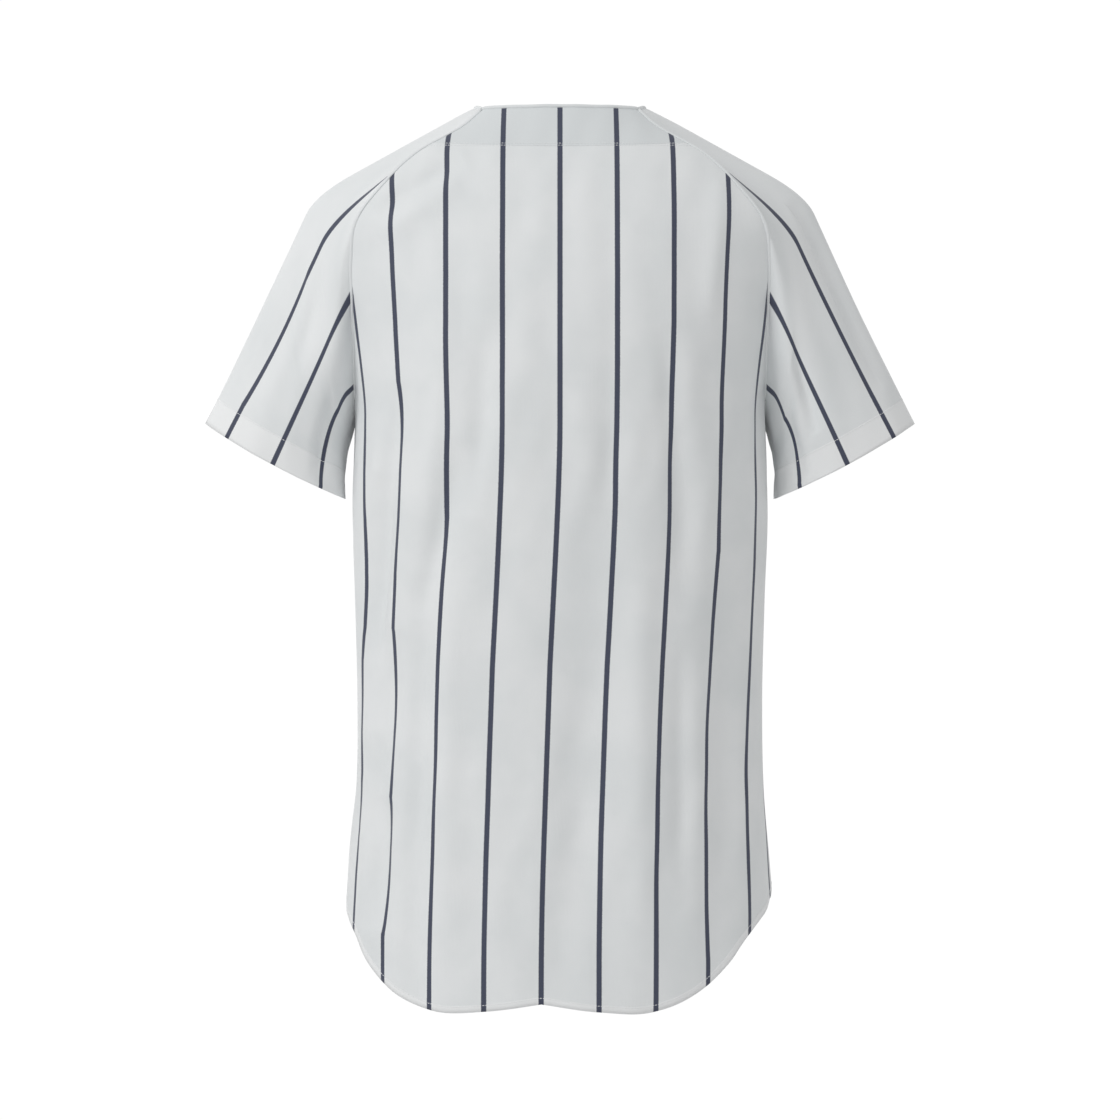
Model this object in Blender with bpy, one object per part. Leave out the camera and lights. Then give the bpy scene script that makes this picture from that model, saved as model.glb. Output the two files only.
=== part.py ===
"""Baseball jersey with raglan short sleeves, filled out as worn and hollow. Metres, +Z up.

The front faces -Y. The origin is the middle of the neck, level with the back neck edge.
Each panel is a grid of points on the worn form, given a wall: rows run round the body and
columns run down it; on a sleeve, columns run along the grain from the armhole to the cuff.
The rows of the body end on the sleeve's own points, so the panels meet along every seam.
"""

from collections import namedtuple

import bpy
import numpy as np

# Cloth and seams
CLOTH = 0.0012
SEAM_GAP = 0.0003
SLEEVE_SETBACK = 1.6 * SEAM_GAP
SIDE_SEAM_Y = -0.005
SQUARENESS = 2.3

# Front opening
OVERLAP = 0.0155
BAND_WIDTH = 0.032
BAND_CLOTH = 0.0010
BAND_COLUMNS = 2
LAP_GAP = 0.0006
NECK_DROP_Z = -0.113
NECK_CURVE = 1.55
NECK_TIP_ANGLE = 0.25
TUCK_START_X = 0.050
TUCK_END_X = 0.022

# Buttons
BUTTON_RADIUS = 0.0095
BUTTON_THICKNESS = 0.0030
BUTTON_COUNT = 6
BUTTON_TOP_Z = -0.127
BUTTON_SPACING = 0.105
BUTTON_SIDES = 16
# Radius and height of its rings from the back to the dished face, as shares of its own
BUTTON_RINGS = [(0.86, 0), (1, 0.35), (1, 0.75), (0.9, 1), (0.72, 1), (0.6, 0.72)]

# Back neck facing
FACING_CLOTH = 0.0010
FACING_DEPTH_MIDDLE = 0.0395
FACING_DEPTH_END = 0.0340
FACING_SIDE_CLEARANCE = 0.004
FACING_TOP_CLEARANCE = 0.002
FACING_ROWS = 4
FACING_COLUMNS = 16

# Grid sizes
RAGLAN_ROWS = 13
SIDE_ROWS = 16
BACK_COLUMNS = 28
FRONT_COLUMNS = 16
NECK_EDGE_COLUMNS = 4
SLEEVE_ROWS = 13
DENSE = 181

# The form is turned a little on the figure towards the hem, so the centre line leaves the middle
HEM_TURN = 0.088
TAIL_TOP_Z = -0.50
ARMPIT_Z = -0.285
SIDE_HEM_Z = -0.706

# The seam between body and sleeve. across: how far from the sleeve's centre line it is cut there
Seam = namedtuple("Seam", "x y z across")
BACK_RAGLAN = [
    Seam(0.0700, 0.046, -0.001, 0.0330),
    Seam(0.0846, 0.052, -0.015, 0.0365),
    Seam(0.1277, 0.066, -0.042, 0.0500),
    Seam(0.1600, 0.074, -0.074, 0.0640),
    Seam(0.1800, 0.075, -0.100, 0.0750),
    Seam(0.1870, 0.068, -0.140, 0.0900),
    Seam(0.1868, 0.060, -0.174, 0.1030),
    Seam(0.1862, 0.045, -0.220, 0.1300),
    Seam(0.1865, 0.020, -0.262, 0.1650),
    Seam(0.1875, SIDE_SEAM_Y, ARMPIT_Z, 0.2000),
]
FRONT_RAGLAN = [
    Seam(0.0740, -0.024, -0.012, 0.0340),
    Seam(0.0950, -0.050, -0.045, 0.0420),
    Seam(0.1250, -0.075, -0.085, 0.0550),
    Seam(0.1500, -0.088, -0.130, 0.0720),
    Seam(0.1680, -0.086, -0.180, 0.0950),
    Seam(0.1790, -0.066, -0.230, 0.1280),
    Seam(0.1850, -0.035, -0.265, 0.1650),
    Seam(0.1875, SIDE_SEAM_Y, ARMPIT_Z, 0.2000),
]
SLEEVE_NECK_TOP = Seam(0.0775, 0.012, 0.0035, 0.0)

# Body sections: where the form's back and front lie on the centre line
Profile = namedtuple("Profile", "z y")
BACK_PROFILE = [
    Profile(-0.001, 0.061),
    Profile(-0.030, 0.077),
    Profile(-0.060, 0.092),
    Profile(-0.100, 0.107),
    Profile(-0.150, 0.119),
    Profile(-0.220, 0.128),
    Profile(-0.300, 0.131),
    Profile(-0.420, 0.126),
    Profile(-0.540, 0.122),
    Profile(-0.660, 0.126),
    Profile(-0.820, 0.133),
]
FRONT_PROFILE = [
    Profile(-0.012, -0.050),
    Profile(-0.050, -0.075),
    Profile(-0.085, -0.093),
    Profile(-0.130, -0.116),
    Profile(-0.180, -0.134),
    Profile(-0.240, -0.144),
    Profile(-0.320, -0.146),
    Profile(-0.440, -0.139),
    Profile(-0.560, -0.135),
    Profile(-0.680, -0.137),
    Profile(-0.820, -0.142),
]
Width = namedtuple("Width", "z half")
BODY_WIDTH = [
    Width(ARMPIT_Z, 0.1875),
    Width(-0.350, 0.1895),
    Width(-0.450, 0.1870),
    Width(-0.540, 0.1850),
    Width(-0.620, 0.1865),
    Width(-0.680, 0.1915),
    Width(-0.720, 0.1945),
    Width(-0.820, 0.1965),
]

# Shirt-tail hem. across: 0 on the centre line, 1 at the side seam
Hem = namedtuple("Hem", "across z")
BACK_HEM = [
    Hem(0.00, -0.797),
    Hem(0.19, -0.804),
    Hem(0.36, -0.805),
    Hem(0.56, -0.784),
    Hem(0.75, -0.742),
    Hem(0.92, -0.717),
    Hem(1.00, SIDE_HEM_Z),
]
FRONT_HEM = [
    Hem(0.00, -0.782),
    Hem(0.19, -0.786),
    Hem(0.36, -0.785),
    Hem(0.56, -0.768),
    Hem(0.75, -0.735),
    Hem(0.92, -0.716),
    Hem(1.00, SIDE_HEM_Z),
]

# Where the sleeve turns down over the shoulder, listed from the underarm over the back to the front
Bend = namedtuple("Bend", "across x y z")
SLEEVE_BEND = [
    Bend(0.2000, 0.1902, SIDE_SEAM_Y, -0.300),
    Bend(0.1524, 0.1965, 0.042, -0.262),
    Bend(0.1016, 0.2020, 0.067, -0.200),
    Bend(0.0508, 0.2070, 0.050, -0.106),
    Bend(0.0000, 0.2261, 0.006, -0.0738),
    Bend(-0.0508, 0.2080, -0.046, -0.112),
    Bend(-0.1016, 0.2020, -0.074, -0.200),
    Bend(-0.1524, 0.1965, -0.052, -0.262),
    Bend(-0.2000, 0.1902, SIDE_SEAM_Y, -0.300),
]
BEND_LENGTH = 0.040
BEND_LENGTH_AFTER = 0.020
BEND_MOST_SHARE = 0.45
BEND_POINTS = 25
SLEEVE_FLARE = 0.003

# Cuff oval
CUFF_TOP = np.array([0.3248, -0.004, -0.2830])
CUFF_BOTTOM = np.array([0.1960, -0.004, -0.3520])
CUFF_HALF_DEPTH = 0.053
CUFF_BOW = 0.004

# The largest folds. around: distance from the panel's centre line (on a sleeve, from its own
# centre line); top and bottom: height (on a sleeve, distance along it from 0 to 1); lean: how far
# the fold moves towards +around by its bottom; depth: into the cloth, negative for a ridge
Fold = namedtuple("Fold", "around top bottom width depth lean")
BACK_FOLDS = [
    Fold(0.190, -0.290, -0.560, 0.030, 0.010, 0.012),
    Fold(0.125, -0.330, -0.700, 0.026, 0.008, 0.020),
    Fold(0.060, -0.220, -0.640, 0.022, 0.005, 0.010),
    Fold(-0.075, -0.200, -0.820, 0.030, 0.007, 0.012),
    Fold(-0.165, -0.180, -0.780, 0.028, 0.008, -0.006),
    Fold(0.215, -0.600, -0.760, 0.030, 0.012, -0.010),
    Fold(-0.020, -0.560, -0.820, 0.024, 0.005, 0.000),
]
FRONT_FOLDS = [
    Fold(0.110, -0.300, -0.720, 0.026, 0.007, 0.010),
    Fold(0.185, -0.240, -0.600, 0.028, 0.009, 0.012),
    Fold(0.060, -0.480, -0.760, 0.024, 0.005, -0.004),
]
SLEEVE_FOLDS = [
    Fold(0.125, 0.25, 0.95, 0.020, 0.006, 0.006),
    Fold(0.040, 0.40, 0.92, 0.016, 0.006, 0.004),
    Fold(-0.085, 0.30, 0.95, 0.022, 0.007, -0.006),
]
FOLD_TAPER = 0.7
SIDE_FADE = 8
LEFT, RIGHT = 1, -1


def spline(xs, ys, x):
    """A smooth curve through the points, read at x. ys may hold several columns."""
    xs, ys, x = np.asarray(xs, float), np.asarray(ys, float), np.asarray(x, float)
    if xs[0] > xs[-1]:
        xs, ys = xs[::-1], ys[::-1]
    step = np.diff(xs)
    columns = ys.reshape(len(xs), -1)
    rise = np.diff(columns, axis=0) / step[:, None]
    slope = np.vstack([rise[:1], (rise[:-1] * step[1:, None] + rise[1:] * step[:-1, None])
                       / (step[:-1] + step[1:])[:, None], rise[-1:]])
    at = np.clip(np.searchsorted(xs, x.ravel()) - 1, 0, len(xs) - 2)
    t = np.clip((x.ravel() - xs[at]) / step[at], 0, 1)[:, None]
    width = step[at][:, None]
    found = (
        columns[at] * (1 + 2 * t) * (1 - t) ** 2
        + slope[at] * width * t * (1 - t) ** 2
        + columns[at + 1] * t**2 * (3 - 2 * t)
        - slope[at + 1] * width * t**2 * (1 - t)
    )
    return found.reshape(x.shape + ys.shape[1:])


def column(table, name):
    return [getattr(row, name) for row in table]


def read(table, key, name, at):
    return spline(column(table, key), column(table, name), at)


def smoothstep(t):
    t = np.clip(t, 0, 1)
    return t * t * (3 - 2 * t)


def unit(vectors):
    return vectors / np.linalg.norm(vectors, axis=-1, keepdims=True)


def lengths(points):
    """Distance along a line of points, from 0."""
    return np.concatenate([[0], np.cumsum(np.linalg.norm(np.diff(points, axis=0), axis=1))])


def spread(points, count):
    """Positions, as a fraction of the index, of count + 1 points evenly spaced along a line."""
    run = lengths(points)
    return np.interp(np.linspace(0, run[-1], count + 1), run, np.linspace(0, 1, len(points)))


def seam_points(raglan, count):
    """count + 1 points evenly spaced down a raglan seam, as x, y, z and across."""
    z = np.linspace(raglan[0].z, raglan[-1].z, DENSE)
    line = np.column_stack([read(raglan, "z", name, z) for name in ("x", "y", "z", "across")])
    at = spread(line[:, :3], count) * (DENSE - 1)
    return np.column_stack([np.interp(at, range(DENSE), line[:, i]) for i in range(4)])


def half_width(raglan, profile, z):
    """Half the width of the oval through the raglan seam, or of the body under the armpit."""
    reach = read(profile, "z", "y", z) - SIDE_SEAM_Y
    seam_z = np.maximum(z, ARMPIT_Z)
    rise = np.clip((read(raglan, "z", "y", seam_z) - SIDE_SEAM_Y) / reach, 0, 0.999)
    seam = read(raglan, "z", "x", seam_z) / (1 - rise**SQUARENESS) ** (1 / SQUARENESS)
    return np.where(z >= ARMPIT_Z, seam, read(BODY_WIDTH, "z", "half", np.minimum(z, ARMPIT_Z)))


def seam_angle(raglan, profile, z):
    """Angle round the oval, from the centre line, of the seam that ends the row at height z."""
    reach = read(profile, "z", "y", z) - SIDE_SEAM_Y
    rise = np.clip((read(raglan, "z", "y", z) - SIDE_SEAM_Y) / reach, 0, 0.999)
    return np.arccos(rise ** (SQUARENESS / 2))


def oval(raglan, profile, angle, z):
    """Points of the body's form at an angle from the centre line and a height."""
    power = 2 / SQUARENESS
    sine, cosine = np.sin(angle), np.cos(angle)
    x = half_width(raglan, profile, z) * np.sign(sine) * np.abs(sine) ** power
    beyond = FRONT_PROFILE if profile is BACK_PROFILE else BACK_PROFILE
    reach = np.where(cosine < 0, SIDE_SEAM_Y - read(beyond, "z", "y", z),
                     read(profile, "z", "y", z) - SIDE_SEAM_Y)
    y = SIDE_SEAM_Y + reach * np.sign(cosine) * np.abs(cosine) ** power
    return np.stack([x, y, z + 0 * x], axis=-1)


def row(raglan, profile, angles, heights, fractions):
    """A row of the body from one angle and height to another, spaced evenly by fractions."""
    t = np.linspace(0, 1, DENSE)
    path = oval(raglan, profile, angles[0] + (angles[1] - angles[0]) * t,
                heights[0] + (heights[1] - heights[0]) * t)
    run = lengths(path)
    at = np.interp(fractions * run[-1], run, t)
    angle = angles[0] + (angles[1] - angles[0]) * at
    return angle, heights[0] + (heights[1] - heights[0]) * at


def turn(z):
    """How far the side seams and the centre line have turned towards +X at a height."""
    return HEM_TURN * smoothstep((ARMPIT_Z - z) / (ARMPIT_Z - SIDE_HEM_Z))


def side_levels():
    return np.linspace(ARMPIT_Z, SIDE_HEM_Z, SIDE_ROWS + 1)[1:]


def tail(hem, z, across):
    """Height of a row's points: level at TAIL_TOP_Z, and the hem's curve in the last row."""
    drop = read(hem, "across", "z", np.abs(across)) - SIDE_HEM_Z
    return z + drop * np.clip((TAIL_TOP_Z - z) / (TAIL_TOP_Z - SIDE_HEM_Z), 0, 1)


def grid_normals(grid, closed=False):
    """Outward unit normals of a grid of points, which is closed on its second axis or not."""
    if closed:
        wide = np.concatenate([grid[:, -2:-1], grid, grid[:, 1:2]], axis=1)
        along_row = wide[:, 2:] - wide[:, :-2]
    else:
        along_row = np.gradient(grid, axis=1)
    return unit(np.cross(np.gradient(grid, axis=0), along_row))


def folded(around, height, folds):
    """How far each fold pushes the cloth in: a soft trough with tapered ends."""
    push = np.zeros(around.shape)
    for fold in folds:
        part = (height - fold.top) / (fold.bottom - fold.top)
        centre = fold.around + fold.lean * part
        taper = np.sin(np.pi * np.clip(part, 0, 1)) ** FOLD_TAPER
        push += fold.depth * taper * np.exp(-(((around - centre) / fold.width) ** 2))
    return push


def back_grid():
    """The back: rows from the left seam (+X) to the right seam, from the neck to the hem."""
    across = np.linspace(1, -1, BACK_COLUMNS + 1)
    fractions = (1 - across) / 2
    rows = []
    for z in seam_points(BACK_RAGLAN, RAGLAN_ROWS)[:, 2]:
        end = seam_angle(BACK_RAGLAN, BACK_PROFILE, z)
        angle, height = row(BACK_RAGLAN, BACK_PROFILE, (end, -end), (z, z), fractions)
        rows.append(oval(BACK_RAGLAN, BACK_PROFILE, angle, height))
    for z in side_levels():
        ends = (np.pi / 2 + turn(z), -np.pi / 2 + turn(z))
        angle, _ = row(BACK_RAGLAN, BACK_PROFILE, ends, (z, z), fractions)
        rows.append(oval(BACK_RAGLAN, BACK_PROFILE, angle, tail(BACK_HEM, z, across)))
    grid = np.array(rows)
    around = np.array([lengths(line) for line in grid])
    around = around[:, -1:] / 2 - around
    push = folded(around, grid[..., 2], BACK_FOLDS)
    edge = 1 - np.abs(across) ** SIDE_FADE
    return grid - grid_normals(grid) * (push * edge)[..., None]


def front_rows(side):
    """Ends of a front's rows: inner x and z, then outer angle and height, from the neck down."""
    seam = seam_points(FRONT_RAGLAN, RAGLAN_ROWS)
    neck_rows = int(np.argmin(np.abs(seam[:, 2] - NECK_DROP_Z)))
    top = FRONT_RAGLAN[0]
    t = np.linspace(NECK_TIP_ANGLE, np.pi / 2, DENSE)
    power = 2 / NECK_CURVE
    line = np.column_stack([top.x * np.cos(t) ** power,
                            top.z + (NECK_DROP_Z - top.z) * np.sin(t) ** power])
    at = spread(line, neck_rows) * (DENSE - 1)
    inner = [(np.interp(a, range(DENSE), line[:, 0]), np.interp(a, range(DENSE), line[:, 1]))
             for a in at]
    inner[-1] = (-OVERLAP, NECK_DROP_Z)
    below = np.linspace(NECK_DROP_Z, ARMPIT_Z, RAGLAN_ROWS - neck_rows + 1)[1:]
    inner += [(-OVERLAP, z) for z in below]
    outer = [(seam_angle(FRONT_RAGLAN, FRONT_PROFILE, z), z) for z in seam[:, 2]]
    for z in side_levels():
        inner.append((-OVERLAP, z))
        outer.append((np.pi / 2 - side * turn(z), z))
    return inner, outer


def front_grid(side):
    """A front, from neck to hem: its rows run from -X to +X, so that it faces out.

    Below the neck the last columns are the front band's, which has the width of its own.
    """
    even = np.linspace(0, 1, FRONT_COLUMNS + 1)
    rows = []
    for (x, z_in), (end, z_out) in zip(*front_rows(side)):
        width = half_width(FRONT_RAGLAN, FRONT_PROFILE, np.array(z_in))
        start = np.arcsin(np.sign(x) * np.abs(x / width) ** (SQUARENESS / 2))
        fractions = even
        if x < 0:
            whole = lengths(oval(FRONT_RAGLAN, FRONT_PROFILE, np.linspace(end, start, DENSE),
                                 np.linspace(z_out, z_in, DENSE)))[-1]
            band = np.linspace(1 - BAND_WIDTH / whole, 1, BAND_COLUMNS + 1)
            rest = np.linspace(0, band[0], FRONT_COLUMNS - BAND_COLUMNS + 1)
            fractions = np.concatenate([rest[:-1], band])
        angle, height = row(FRONT_RAGLAN, FRONT_PROFILE, (end, start), (z_out, z_in), fractions)
        if z_out < ARMPIT_Z:
            height = tail(FRONT_HEM, z_out, 1 - fractions)
        rows.append(oval(FRONT_RAGLAN, FRONT_PROFILE, angle, height))
    grid = np.array(rows)
    around = np.array([lengths(line) for line in grid])
    around = around[:, -1:] - around
    push = folded(around, grid[..., 2], FRONT_FOLDS)
    push = push * smoothstep(even * SIDE_FADE)
    push = push * smoothstep((grid[..., 0] - BAND_WIDTH) / BAND_WIDTH)
    grid = grid + grid_normals(grid) * push[..., None]
    if side == LEFT:
        return grid[:, ::-1]
    if side == RIGHT:
        under = smoothstep((TUCK_START_X - grid[..., 0]) / (TUCK_START_X - TUCK_END_X))
        grid[..., 1] += (CLOTH + LAP_GAP) * under
        grid[..., 0] *= -1
    return grid


def sleeve_loop():
    """The points that a sleeve starts from, up the front seam, along the neck, down the back."""
    back = seam_points(BACK_RAGLAN, RAGLAN_ROWS)
    front = seam_points(FRONT_RAGLAN, RAGLAN_ROWS)[::-1]
    front[:, 3] *= -1
    ends = np.array([front[-1], SLEEVE_NECK_TOP, back[0]])
    across = np.linspace(ends[0, 3], ends[-1, 3], NECK_EDGE_COLUMNS + 1)[1:-1]
    neck = spline(ends[:, 3], ends, across)
    return np.vstack([front, neck, back])


def cuff_points(across):
    """Points of the cuff's oval at distances round it from its top."""
    centre, half = (CUFF_TOP + CUFF_BOTTOM) / 2, (CUFF_TOP - CUFF_BOTTOM) / 2
    angle = np.linspace(-np.pi, np.pi, 4 * DENSE)
    depth = np.array([0, CUFF_HALF_DEPTH, 0])
    ring = centre + np.cos(angle)[:, None] * half + np.sin(angle)[:, None] * depth
    run = lengths(ring)
    at = np.interp((across / (2 * across.max()) + 0.5) * run[-1], run, angle)[:, None]
    bow = np.array([0, 0, CUFF_BOW]) * np.sin(at) ** 2
    return centre + np.cos(at) * half + np.sin(at) * depth - bow


def sleeve_column(start, bend, end, fractions):
    """A line from the armhole straight to the bend, round it and straight on to the cuff."""
    into, out = unit(bend - start), unit(end - bend)
    reach = min(BEND_LENGTH, BEND_MOST_SHARE * np.linalg.norm(bend - start))
    before, after = bend - into * reach, bend + out * BEND_LENGTH_AFTER
    t = np.linspace(0, 1, BEND_POINTS)[:, None]
    turned = before * (1 - t) ** 2 + 2 * bend * t * (1 - t) + after * t**2
    line = np.vstack([start, turned, end])
    run = lengths(line)
    return np.column_stack([np.interp(fractions * run[-1], run, line[:, i]) for i in range(3)])


def sleeve_grid():
    """The left sleeve as a closed tube: rows run round it, from the armhole to the cuff."""
    loop = sleeve_loop()
    across = loop[:, 3]
    bend = np.column_stack([read(SLEEVE_BEND, "across", name, across) for name in "xyz"])
    cuff = cuff_points(across)
    fractions = np.linspace(0, 1, SLEEVE_ROWS + 1)
    columns = [sleeve_column(start, corner, end, fractions)
               for start, corner, end in zip(loop[:, :3], bend, cuff)]
    grid = np.array(columns).transpose(1, 0, 2)
    normals = grid_normals(grid, closed=True)
    inward = 4 * fractions * (1 - fractions) * smoothstep(fractions * 2) * SLEEVE_FLARE
    around = np.tile(across, (len(fractions), 1))
    height = np.tile(fractions[:, None], (1, len(across)))
    push = folded(around, height, SLEEVE_FOLDS) + inward[:, None]
    return grid - normals * push[..., None]


def shared_normals(own, other):
    """Normals for a seam's points: the mean of both panels' where they face alike."""
    alike = smoothstep(2 * (own * other).sum(axis=-1, keepdims=True))
    return unit(own + other * alike)


def mirrored(grid):
    """The grid on the other side of the body, its rows turned so that it still faces out."""
    return (grid * (-1, 1, 1))[:, ::-1]


def material(name, colour, roughness):
    made = bpy.data.materials.new(name)
    made.use_nodes = True
    shader = made.node_tree.nodes["Principled BSDF"]
    shader.inputs["Base Color"].default_value = (*colour, 1)
    shader.inputs["Roughness"].default_value = roughness
    shader.inputs["Metallic"].default_value = 0
    return made


def wall(name, outer, inner, finish, closed=False):
    """A solid between two grids of points, with its edges closed."""
    rows, columns = outer.shape[:2]
    if closed:
        columns -= 1
        outer, inner = outer[:, :-1], inner[:, :-1]
    points = np.concatenate([outer.reshape(-1, 3), inner.reshape(-1, 3)])
    size = rows * columns
    faces = []
    for i in range(rows - 1):
        for j in range(columns if closed else columns - 1):
            k = (j + 1) % columns
            corners = [i * columns + j, (i + 1) * columns + j, (i + 1) * columns + k,
                       i * columns + k]
            faces.append(corners)
            faces.append([size + c for c in reversed(corners)])
    edges = [[i * columns + j for j in range(columns)] for i in (0, rows - 1)]
    if closed:
        loops = [edge + edge[:1] for edge in (edges[0], edges[1][::-1])]
    else:
        sides = [[i * columns + j for i in range(rows)] for j in (0, columns - 1)]
        loops = [edges[0] + sides[1][1:] + edges[1][::-1][1:] + sides[0][::-1][1:]]
    for loop in loops:
        for a, b in zip(loop, loop[1:]):
            faces.append([a, b, size + b, size + a])
    mesh = bpy.data.meshes.new(name)
    mesh.from_pydata(points.tolist(), [], faces)
    mesh.materials.append(finish)
    mesh.validate()
    mesh.shade_smooth()
    mesh.set_sharp_from_angle(angle=1.0)
    made = bpy.data.objects.new(name, mesh)
    bpy.context.scene.collection.objects.link(made)
    return made


def cloth_wall(name, grid, normals, thickness, finish, closed=False):
    return wall(name, grid, grid - normals * thickness, finish, closed)


def trimmed(grid, gap):
    """The grid with its first and last columns drawn in by a gap."""
    grid = grid.copy()
    grid[:, 0] += unit(grid[:, 1] - grid[:, 0]) * gap
    grid[:, -1] += unit(grid[:, -2] - grid[:, -1]) * gap
    return grid


def build_facing(finish):
    """The facing inside the back neck, its lower edge a shallow curve."""
    across = np.linspace(1, -1, FACING_COLUMNS + 1)
    top_z = BACK_RAGLAN[0].z - FACING_TOP_CLEARANCE
    rows = []
    for t in np.linspace(0, 1, FACING_ROWS + 1):
        end_z = top_z - t * (FACING_DEPTH_END - FACING_TOP_CLEARANCE)
        z = end_z - t * (FACING_DEPTH_MIDDLE - FACING_DEPTH_END) * (1 - across**2)
        x = across * (read(BACK_RAGLAN, "z", "x", z) - FACING_SIDE_CLEARANCE)
        width = half_width(BACK_RAGLAN, BACK_PROFILE, z)
        angle = np.arcsin(np.sign(x) * np.abs(x / width) ** (SQUARENESS / 2))
        rows.append(oval(BACK_RAGLAN, BACK_PROFILE, angle, z))
    grid = np.array(rows)
    normals = grid_normals(grid)
    inner = grid - normals * (CLOTH + 2 * SEAM_GAP)
    cloth_wall("back_neck_facing", inner, normals, FACING_CLOTH, finish)


def build_button(name, z, finish):
    """A turned button lying on the band, facing out of the chest."""
    step = 0.002
    y, above = (float(read(FRONT_PROFILE, "z", "y", at)) for at in (z, z + step))
    out = unit(np.array([0, -step, above - y]))
    across = np.array([1.0, 0, 0])
    upright = np.cross(out, across)
    base = np.array([0, y, z]) + out * (SEAM_GAP * 2 + BAND_CLOTH)
    angle = np.linspace(0, 2 * np.pi, BUTTON_SIDES + 1)[:-1]
    points = [base + out * lift * BUTTON_THICKNESS
              + radius * BUTTON_RADIUS * (np.cos(a) * across + np.sin(a) * upright)
              for radius, lift in BUTTON_RINGS for a in angle]
    n, last = BUTTON_SIDES, len(BUTTON_RINGS) - 1
    faces = [[i * n + j, i * n + (j + 1) % n, (i + 1) * n + (j + 1) % n, (i + 1) * n + j]
             for i in range(last) for j in range(n)]
    faces += [list(range(n))[::-1], [last * n + j for j in range(n)]]
    mesh = bpy.data.meshes.new(name)
    mesh.from_pydata([p.tolist() for p in points], [], faces)
    mesh.materials.append(finish)
    mesh.shade_smooth()
    mesh.set_sharp_from_angle(angle=0.7)
    bpy.context.scene.collection.objects.link(bpy.data.objects.new(name, mesh))


def set_back(sleeve, normals, torso):
    """The sleeve with its armhole edge moved off the body panels, whose normals torso holds."""
    run = unit(np.gradient(sleeve[0], axis=0))
    away = sleeve[1] - sleeve[0]
    away = unit(away - run * (away * run).sum(axis=1, keepdims=True))
    apart = 1 - np.clip((normals[0] * torso).sum(axis=1, keepdims=True), 0, 1)
    moved = sleeve.copy()
    moved[0] += unit(away + torso * apart) * SLEEVE_SETBACK
    return moved


def build_side(side, sleeve, back_normals, front_normals, finish):
    """One sleeve, after the normals along its seams are matched with the back's and front's."""
    seam = RAGLAN_ROWS + 1
    flip = np.array([side, 1, 1])
    back_end, front_end = (0, -1) if side == LEFT else (-1, 0)
    normals = grid_normals(sleeve, closed=True)
    of_back = back_normals[:seam, back_end] * flip
    of_front = front_normals[:seam, front_end] * flip
    neck = np.tile(of_front[:1], (NECK_EDGE_COLUMNS - 1, 1))
    moved = set_back(sleeve, normals, np.vstack([of_front[::-1], neck, of_back]))
    at_front, at_back = normals[0, :seam][::-1].copy(), normals[0, -seam:].copy()
    normals[0, :seam] = shared_normals(at_front, of_front)[::-1]
    normals[0, -seam:] = shared_normals(at_back, of_back)
    front_normals[:seam, front_end] = shared_normals(of_front, at_front) * flip
    back_normals[:seam, back_end] = shared_normals(of_back, at_back) * flip
    if side == LEFT:
        cloth_wall("sleeve_left", moved, normals, CLOTH, finish, closed=True)
    else:
        cloth_wall("sleeve_right", mirrored(moved), mirrored(normals), CLOTH, finish, closed=True)


def build():
    for old in list(bpy.data.objects):
        bpy.data.objects.remove(old)
    cloth = material("striped_cloth", (0.86, 0.88, 0.89), 0.72)
    inside = material("facing_cloth", (0.80, 0.82, 0.83), 0.75)
    plastic = material("button_plastic", (0.82, 0.83, 0.82), 0.35)

    back, sleeve = back_grid(), sleeve_grid()
    back_normals = grid_normals(back)
    left, right = front_grid(LEFT), front_grid(RIGHT)
    left_normals, right_normals = grid_normals(left), grid_normals(right)
    build_side(LEFT, sleeve, back_normals, left_normals, cloth)
    build_side(RIGHT, sleeve, back_normals, right_normals, cloth)
    for name, grid, normals in (("back", back, back_normals), ("front_left", left, left_normals),
                                ("front_right", right, right_normals)):
        cloth_wall(name, trimmed(grid, SEAM_GAP / 2), normals, CLOTH, cloth)

    neck_rows = sum(x > 0 for x, _ in front_rows(LEFT)[0])
    band = left[neck_rows:, : BAND_COLUMNS + 1]
    out = left_normals[neck_rows:, : BAND_COLUMNS + 1]
    cloth_wall("button_band", band + out * (SEAM_GAP + BAND_CLOTH), out, BAND_CLOTH, cloth)
    build_facing(inside)
    for i in range(BUTTON_COUNT):
        build_button(f"button_{i + 1}", BUTTON_TOP_Z - i * BUTTON_SPACING, plastic)


build()
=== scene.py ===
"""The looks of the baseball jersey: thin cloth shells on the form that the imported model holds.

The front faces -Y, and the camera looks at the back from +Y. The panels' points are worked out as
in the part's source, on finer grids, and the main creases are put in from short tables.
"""

from collections import namedtuple

import bpy
import numpy as np
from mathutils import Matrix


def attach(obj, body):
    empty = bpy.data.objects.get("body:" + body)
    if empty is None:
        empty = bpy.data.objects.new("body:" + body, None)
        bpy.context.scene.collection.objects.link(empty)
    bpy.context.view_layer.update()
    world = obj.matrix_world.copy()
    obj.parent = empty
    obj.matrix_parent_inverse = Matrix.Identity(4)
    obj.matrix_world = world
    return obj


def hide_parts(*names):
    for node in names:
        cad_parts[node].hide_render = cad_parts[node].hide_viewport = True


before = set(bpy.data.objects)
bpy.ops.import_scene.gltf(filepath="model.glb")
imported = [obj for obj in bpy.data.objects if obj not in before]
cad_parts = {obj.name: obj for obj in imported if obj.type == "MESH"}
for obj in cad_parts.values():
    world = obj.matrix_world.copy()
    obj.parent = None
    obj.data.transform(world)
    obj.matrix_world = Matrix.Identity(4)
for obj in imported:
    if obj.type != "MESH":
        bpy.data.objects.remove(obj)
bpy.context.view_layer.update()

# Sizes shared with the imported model
CLOTH = 0.0009
SEAM_GAP = 0.0003
SIDE_SEAM_Y = -0.005
SQUARENESS = 2.3
OVERLAP = 0.0155
BAND_WIDTH = 0.032
BAND_CLOTH = 0.0010
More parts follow.
